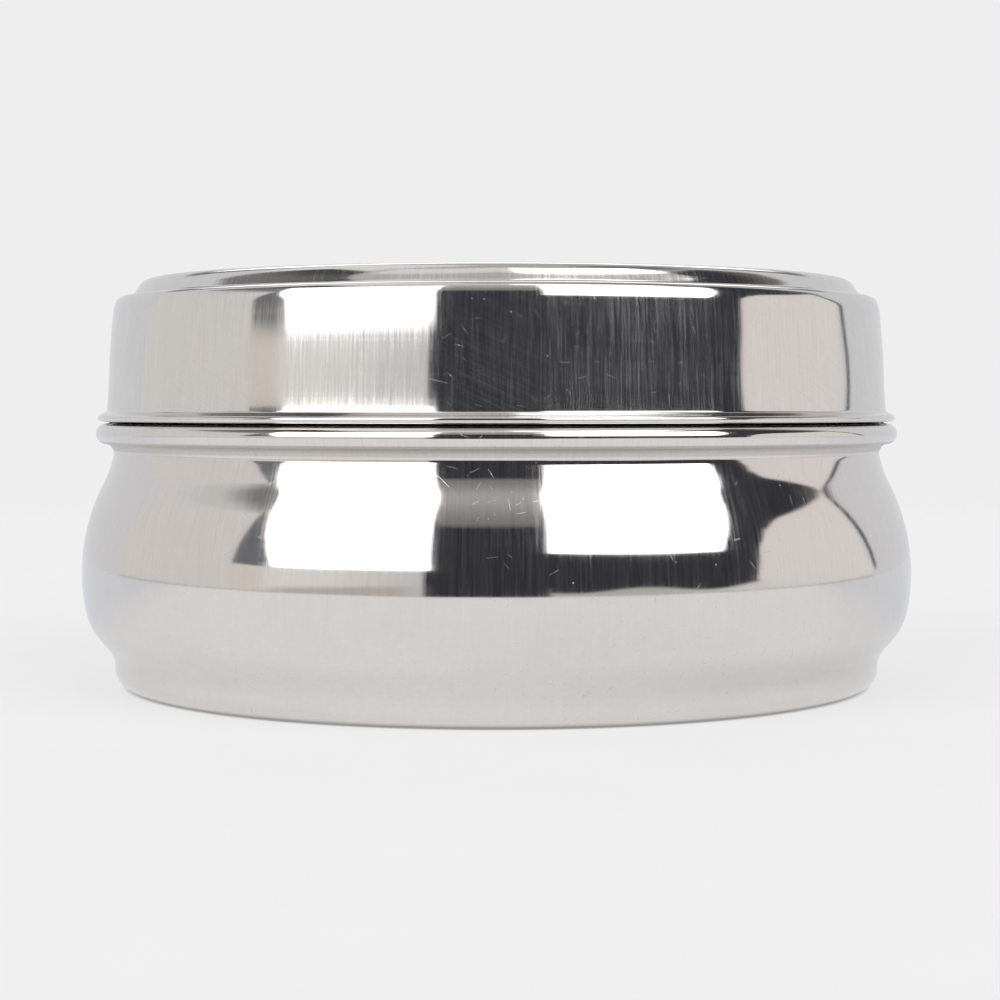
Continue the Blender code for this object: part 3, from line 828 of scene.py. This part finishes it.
def make_floor():
    """A pale round table top that fades into the backdrop at its rim."""
    rings, steps = 24, 96
    points = [(0.0, 0.0, 0.0)]
    for i in range(1, rings + 1):
        r = FLOOR_RADIUS * (i / rings) ** 1.5
        angles = [2 * math.pi * k / steps for k in range(steps)]
        points += [(r * math.cos(a), r * math.sin(a), 0.0) for a in angles]
    faces = [(0, 1 + k, 1 + (k + 1) % steps) for k in range(steps)]
    for i in range(rings - 1):
        a, b = 1 + i * steps, 1 + (i + 1) * steps
        faces += [(a + k, b + k, b + (k + 1) % steps, a + (k + 1) % steps) for k in range(steps)]
    mesh = bpy.data.meshes.new("table")
    mesh.from_pydata(points, [], faces)
    table = bpy.data.objects.new("table", mesh)
    table.location.z = -FLOOR_DROP
    bpy.context.scene.collection.objects.link(table)
    material = bpy.data.materials.new("table_paint")
    material.use_nodes = True
    tree = material.node_tree
    shader = tree.nodes["Principled BSDF"]
    shader.inputs["Roughness"].default_value = 0.9
    shader.inputs["Specular IOR Level"].default_value = 0.0
    coordinates = tree.nodes.new("ShaderNodeTexCoord")
    split = tree.nodes.new("ShaderNodeSeparateXYZ")
    tree.links.new(coordinates.outputs["Object"], split.inputs[0])
    x, y = Value(tree, split.outputs[0]), Value(tree, split.outputs[1])
    distance = (x * x + y * y).math("SQRT")
    grain = tree.nodes.new("ShaderNodeTexNoise")
    grain.inputs["Scale"].default_value = 30.0
    tree.links.new(coordinates.outputs["Object"], grain.inputs["Vector"])
    speckle = (Value(tree, grain.outputs["Fac"]) - 0.5) * 0.008
    # A painted contact shadow: inside the contact radius the glow is dimmed.
    lit = distance.above(CONTACT_RADIUS, 0.003)
    glow = (speckle + FLOOR_GLOW) * (lit * CONTACT_DIM + (1 - CONTACT_DIM))
    x.put(shader.inputs["Emission Strength"], glow)
    path = tree.nodes.new("ShaderNodeLightPath")
    mirrored = 1.0 - Value(tree, path.outputs["Is Camera Ray"])
    far = mixed(mirrored * y.above(0.0, 0.2), (1.0, 1.0, 1.0), FAR_TABLE_TINT)
    tree.links.new(far.socket, shader.inputs["Emission Color"])
    tint = tree.nodes.new("ShaderNodeCombineColor")
    for entry in tint.inputs:
        x.put(entry, speckle + FLOOR_ALBEDO)
    tree.links.new(tint.outputs[0], shader.inputs["Base Color"])
    clear = tree.nodes.new("ShaderNodeBsdfTransparent")
    blend = tree.nodes.new("ShaderNodeMixShader")
    x.put(blend.inputs[0], distance.above(FLOOR_FADE, 0.5))
    tree.links.new(shader.outputs[0], blend.inputs[1])
    tree.links.new(clear.outputs[0], blend.inputs[2])
    tree.links.new(blend.outputs[0], tree.nodes["Material Output"].inputs[0])
    mesh.materials.append(material)


def make_studio():
    """What the steel mirrors, by direction from the box. Azimuth 0 points at the camera and grows to the
    camera's right; both angles are in degrees. Later layers cover earlier ones."""
    world = bpy.data.worlds.new("studio")
    bpy.context.scene.world = world
    world.use_nodes = True
    tree = world.node_tree
    background = tree.nodes["Background"]
    coordinates = tree.nodes.new("ShaderNodeTexCoord")
    split = tree.nodes.new("ShaderNodeSeparateXYZ")
    tree.links.new(coordinates.outputs["Generated"], split.inputs[0])
    x, y, z = (Value(tree, split.outputs[i]) for i in range(3))
    azimuth = x.math("ARCTAN2", y * -1.0) * math.degrees(1.0)
    height = z.math("ARCSINE") * math.degrees(1.0)

    def grey(level, warmth=0.0):
        return (level * (1 + warmth), level, level * (1 - warmth))

    softbox = grey(SOFTBOX_LEVEL)

    # The backdrop all round, a dimmer ceiling, and the pale light high up on the left.
    sky = mixed(height.above(56.0, 24.0), (0.715, 0.725, 0.75), grey(0.50, 0.03))
    sky = mixed(azimuth.between(-160.0, -66.0, 10.0) * height.between(50.0, 84.0, 8.0), sky, grey(0.86))
    # Behind the box, high up: a dark ceiling gap and a bright panel, seen only from other sides.
    behind = azimuth.math("ABSOLUTE")
    sky = mixed(behind.above(136.0, 6.0) * height.between(30.0, 52.0, 5.0), sky, grey(0.22))
    sky = mixed(behind.above(150.0, 4.0) * height.between(34.0, 48.0, 3.0), sky, grey(2.2))

    # Left: a pale wall panel, with a grey zone above it that darkens upwards.
    left_wall = azimuth.above(-104.0, 16.0) * azimuth.below(-68.0, 4.0)
    sky = mixed(left_wall * height.between(-4.0, 46.0, 3.0), sky, grey(0.66, 0.015))
    wedge = azimuth.between(-104.0, -62.0, 14.0) * height.between(31.0 - (azimuth + 66.0) * 0.16, 44.0, 8.0)
    sky = mixed(wedge, sky, grey(0.22))
    high_left = azimuth.between(-116.0 + (height - 36.0) * 0.5, -60.0, 3.0)
    high_left = high_left * height.between(41.0 + (azimuth + 64.0) * 0.11, 62.0, 3.0)
    sky = mixed(high_left, sky, mixed(height.above(50.0, 16.0), grey(0.20), grey(0.05, -0.05)))
    panel_top = 32.0 + (azimuth + 75.0) * 0.18
    panel = azimuth.between(-123.0 + height * 0.1, -74.5, 1.4) * height.between(-9.0, panel_top, 2.0)
    sky = mixed(panel, sky, (0.755, 0.735, 0.72))
    sky = mixed(azimuth.between(-74.5, -50.0, 0.8) * height.between(8.8, 33.0, 1.0), sky, (0.17, 0.175, 0.19))
    sky = mixed(azimuth.between(-74.5, -17.0, 1.0) * height.between(-9.0, 9.4, 1.0), sky, (0.76, 0.71, 0.66))
    strip = mixed(azimuth.above(-36.0, 30.0), grey(0.82, 0.01), grey(0.68, 0.01))
    sky = mixed(azimuth.between(-64.0, -15.0, 6.0) * height.between(-2.0, 11.5, 3.0), sky, strip)

    # The dark room behind the camera, with grey light above it.
    room = azimuth.between(-66.0, 17.0, 1.5)
    over_room = mixed(height.above(48.0, 26.0), grey(0.22), grey(0.56, 0.03))
    sky = mixed(room * height.above(35.0, 3.0), sky, over_room)
    sky = mixed(azimuth.between(-19.0, 17.0, 1.5) * height.between(-9.0, 36.0, 3.0), sky, ROOM_DARK)
    skirting = mixed(azimuth.above(62.0, 50.0), grey(0.52, 0.02), grey(0.80, 0.02))
    sky = mixed(azimuth.between(14.0, 122.0, 2.0) * height.between(-9.0, 2.6, 1.0), sky, skirting)
    ripple = ((azimuth - 39.0) * (2 * math.pi / 38.0)).math("COSINE") * 1.1 + 0.9
    right_room = azimuth.between(14.0, 73.0 + height * 0.33, 1.5) * height.between(ripple, 40.0, 1.6)
    sky = mixed(right_room, sky, ROOM_DARK)
    arch = mixed(azimuth.above(109.0, 16.0), ROOM_DARK, grey(0.17, 0.14))
    sky = mixed(azimuth.between(60.0, 118.0, 4.0) * height.between(22.0, 56.0, 4.0), sky, arch)
    high_right = azimuth.between(40.0, 140.0, 12.0) * height.between(58.0, 76.0, 10.0)
    sky = mixed(high_right, sky, grey(0.18))

    # The ceiling above the softboxes: grey, with a bright band that ends in a third light on the right.
    band_foot = 67.5 - azimuth.math("ABSOLUTE") * 0.14
    over = azimuth.between(-61.0, 84.0, 2.0)
    sky = mixed(over * height.above(band_foot - 12.0, 3.0), sky, grey(0.50, 0.02))
    band = over * height.above(band_foot, 2.5) * height.below(band_foot + 11.0, 3.0)
    sky = mixed(band, sky, mixed(azimuth.above(11.0, 5.0), grey(0.84, 0.01), softbox))

    # Two softboxes.
    left_edges = azimuth.between(-57.8 - height * 0.42, -16.3 - height * 0.075, 1.6)
    left_foot = 10.9 + (azimuth + 40.0) * 0.05
    left_top = 56.0 + (azimuth + 20.0) * 0.19
    sky = mixed(left_edges * height.between(left_foot, left_top, 1.8), sky, softbox)
    right_edges = azimuth.between(12.5 + height * 0.07, 54.3 + height * 0.585, 2.0)
    right_foot = 20.6 - (azimuth - 20.0) * 0.09
    right_top = 56.0 - (azimuth - 20.0) * 0.12
    sky = mixed(right_edges * height.between(right_foot, right_top, 1.2), sky, softbox)

    # Right: a pale panel in front of the backdrop, with a thin dark gap beside it.
    gap = 123.6 - height * 0.36
    sky = mixed(azimuth.between(gap - 1.1, gap + 1.0, 1.0) * height.between(0.0, 24.0, 2.0), sky, grey(0.10))
    side = azimuth.between(72.0 + height * 0.25, 119.5 - height * 0.2, 1.0)
    rounded = (90.0 - azimuth).math("MAXIMUM", 0.0)
    side_top = 25.3 - rounded * rounded * 0.05
    sky = mixed(side * height.between(2.2, side_top, 1.6), sky, (0.84, 0.80, 0.785))

    # A faint line at the foot of the walls, and the pale ground far below the table's edge.
    walls = azimuth.between(-122.0, -19.0, 3.0) + azimuth.between(17.0, 122.0, 3.0)
    sky = mixed(height.between(-2.6, -1.4, 0.8) * walls, sky, grey(0.52, 0.03))
    brown = azimuth.between(-62.0, -22.0, 14.0) * height.between(-5.5, 2.0 + (azimuth + 40.0) * 0.08, 3.0)
    sky = mixed(brown, sky, (0.55, 0.505, 0.48))
    sky = mixed(height.below(-8.5, 0.8), sky, grey(0.86, 0.01))

    path = tree.nodes.new("ShaderNodeLightPath")
    seen = Value(tree, path.outputs["Is Camera Ray"])
    tree.links.new(mixed(seen, sky, grey(BACKDROP)).socket, background.inputs["Color"])


make_floor()
make_studio()

scene = bpy.context.scene
scene.view_settings.view_transform = "Standard"
scene.view_settings.look = "None"
scene.cycles.use_denoising = True
scene.cycles.max_bounces = 12
scene.cycles.sample_clamp_indirect = 6.0
